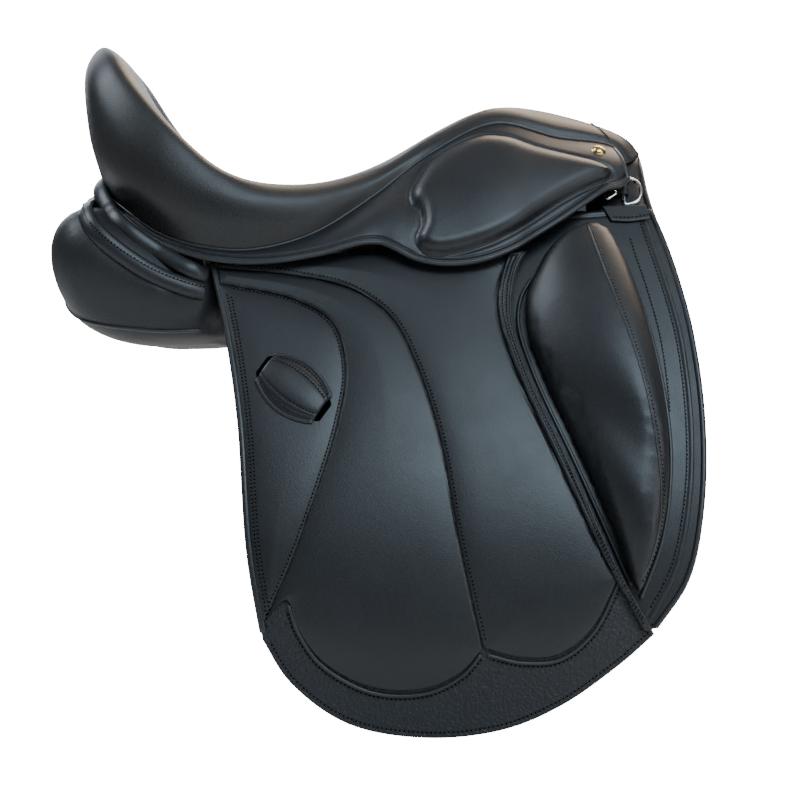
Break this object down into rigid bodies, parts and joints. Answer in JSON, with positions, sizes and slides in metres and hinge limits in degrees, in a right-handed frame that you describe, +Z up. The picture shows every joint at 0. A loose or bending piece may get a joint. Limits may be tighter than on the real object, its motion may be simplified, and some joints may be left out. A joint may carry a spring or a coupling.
{
  "type": "english saddle",
  "caption": "Dressage saddle with deep seat, long flaps with outside knee blocks, stuffed panels, wood tree with steel head, stirrup bars, girth straps and D-rings.",
  "frame": {"origin": "on the midline, at the level where the panels bear on the horse or rack, under the middle of the seat", "axes": "+X to the pommel, +Y to the horse's left, +Z up"},
  "size_m": [0.5302, 0.4898, 0.5566],
  "materials": {
    "smooth_leather": "black bridle leather, semi-gloss",
    "grained_leather": "black pebbled leather, matte",
    "panel_leather": "soft black leather over wool",
    "seat_foam": "latex foam",
    "tree_wood": "laminated beech, black lacquer",
    "webbing": "black proofed linen webbing",
    "fitting_steel": "forged and brushed",
    "chrome": "polished",
    "brass": "polished, domed"
  },
  "bodies": {
    "saddle_body": {"seat_cover": "smooth_leather", "seat_welt_left": "smooth_leather", "seat_welt_right": "smooth_leather", "cantle_facing": "smooth_leather", "pommel_facing": "smooth_leather", "skirt_left": "smooth_leather", "skirt_right": "smooth_leather", "skirt_pad_left": "smooth_leather", "skirt_pad_right": "smooth_leather", "under_flap_left": "smooth_leather", "under_flap_right": "smooth_leather", "knee_block_left": "smooth_leather", "knee_block_right": "smooth_leather", "point_pocket_left": "smooth_leather", "point_pocket_right": "smooth_leather", "ring_chape_left": "smooth_leather", "ring_chape_right": "smooth_leather", "rear_gusset_left": "smooth_leather", "rear_gusset_right": "smooth_leather", "panel_left": "panel_leather", "panel_right": "panel_leather", "sweat_flap_left": "panel_leather", "sweat_flap_right": "panel_leather", "seat_foam": "seat_foam", "tree_frame": "tree_wood", "seat_web": "webbing", "girth_web_front": "webbing", "girth_web_rear": "webbing", "head_plate": "fitting_steel", "spring_strip_left": "fitting_steel", "spring_strip_right": "fitting_steel", "stirrup_bar_left": "fitting_steel", "stirrup_bar_right": "fitting_steel", "catch_pin_left": "fitting_steel", "catch_pin_right": "fitting_steel", "bar_rivet_left": "fitting_steel", "bar_rivet_right": "fitting_steel", "saddle_nail_left": "brass", "saddle_nail_right": "brass"},
    "left_flap": {"flap_left": "grained_leather", "flap_rear_panel_left": "smooth_leather", "flap_middle_panel_left": "smooth_leather", "flap_front_panel_left": "smooth_leather", "flap_border_left": "smooth_leather", "keeper_loop_left": "smooth_leather"},
    "left_ring": {"d_ring_left": "chrome"},
    "left_catch": {"bar_catch_left": "fitting_steel"},
    "left_front_strap": {"girth_strap_front_left": "smooth_leather"},
    "left_rear_strap": {"girth_strap_rear_left": "smooth_leather"},
    "right_flap": {"flap_right": "grained_leather", "flap_rear_panel_right": "smooth_leather", "flap_middle_panel_right": "smooth_leather", "flap_front_panel_right": "smooth_leather", "flap_border_right": "smooth_leather", "keeper_loop_right": "smooth_leather"},
    "right_ring": {"d_ring_right": "chrome"},
    "right_catch": {"bar_catch_right": "fitting_steel"},
    "right_front_strap": {"girth_strap_front_right": "smooth_leather"},
    "right_rear_strap": {"girth_strap_rear_right": "smooth_leather"}
  },
  "joints": [
    {"name": "left_flap_lift", "type": "hinge", "parent": "saddle_body", "child": "left_flap", "pos_m": [0, 0.12348, 0.0557], "axis": [1, 0, 0], "range_deg": [0, 40]},
    {"name": "left_ring_swing", "type": "hinge", "parent": "saddle_body", "child": "left_ring", "pos_m": [0.206, 0.0605, 0.1245], "axis": [0, -0.4921, 0.8706], "range_deg": [0, 50]},
    {"name": "left_catch_turn", "type": "hinge", "parent": "saddle_body", "child": "left_catch", "pos_m": [0.094, 0.087, 0.11], "axis": [0, 1, 0], "range_deg": [0, 75]},
    {"name": "left_front_strap_swing", "type": "hinge", "parent": "saddle_body", "child": "left_front_strap", "pos_m": [0.058, 0.1165, 0.055], "axis": [0, 1, 0], "range_deg": [-5, 5]},
    {"name": "left_rear_strap_swing", "type": "hinge", "parent": "saddle_body", "child": "left_rear_strap", "pos_m": [-0.014, 0.1165, 0.055], "axis": [0, 1, 0], "range_deg": [-5, 5]},
    {"name": "right_flap_lift", "type": "hinge", "parent": "saddle_body", "child": "right_flap", "pos_m": [0, -0.12348, 0.0557], "axis": [-1, 0, 0], "range_deg": [0, 40]},
    {"name": "right_ring_swing", "type": "hinge", "parent": "saddle_body", "child": "right_ring", "pos_m": [0.206, -0.0605, 0.1245], "axis": [0, -0.4921, -0.8706], "range_deg": [0, 50]},
    {"name": "right_catch_turn", "type": "hinge", "parent": "saddle_body", "child": "right_catch", "pos_m": [0.094, -0.087, 0.11], "axis": [0, 1, 0], "range_deg": [0, 75]},
    {"name": "right_front_strap_swing", "type": "hinge", "parent": "saddle_body", "child": "right_front_strap", "pos_m": [0.058, -0.1165, 0.055], "axis": [0, 1, 0], "range_deg": [-5, 5]},
    {"name": "right_rear_strap_swing", "type": "hinge", "parent": "saddle_body", "child": "right_rear_strap", "pos_m": [-0.014, -0.1165, 0.055], "axis": [0, 1, 0], "range_deg": [-5, 5]}
  ]
}
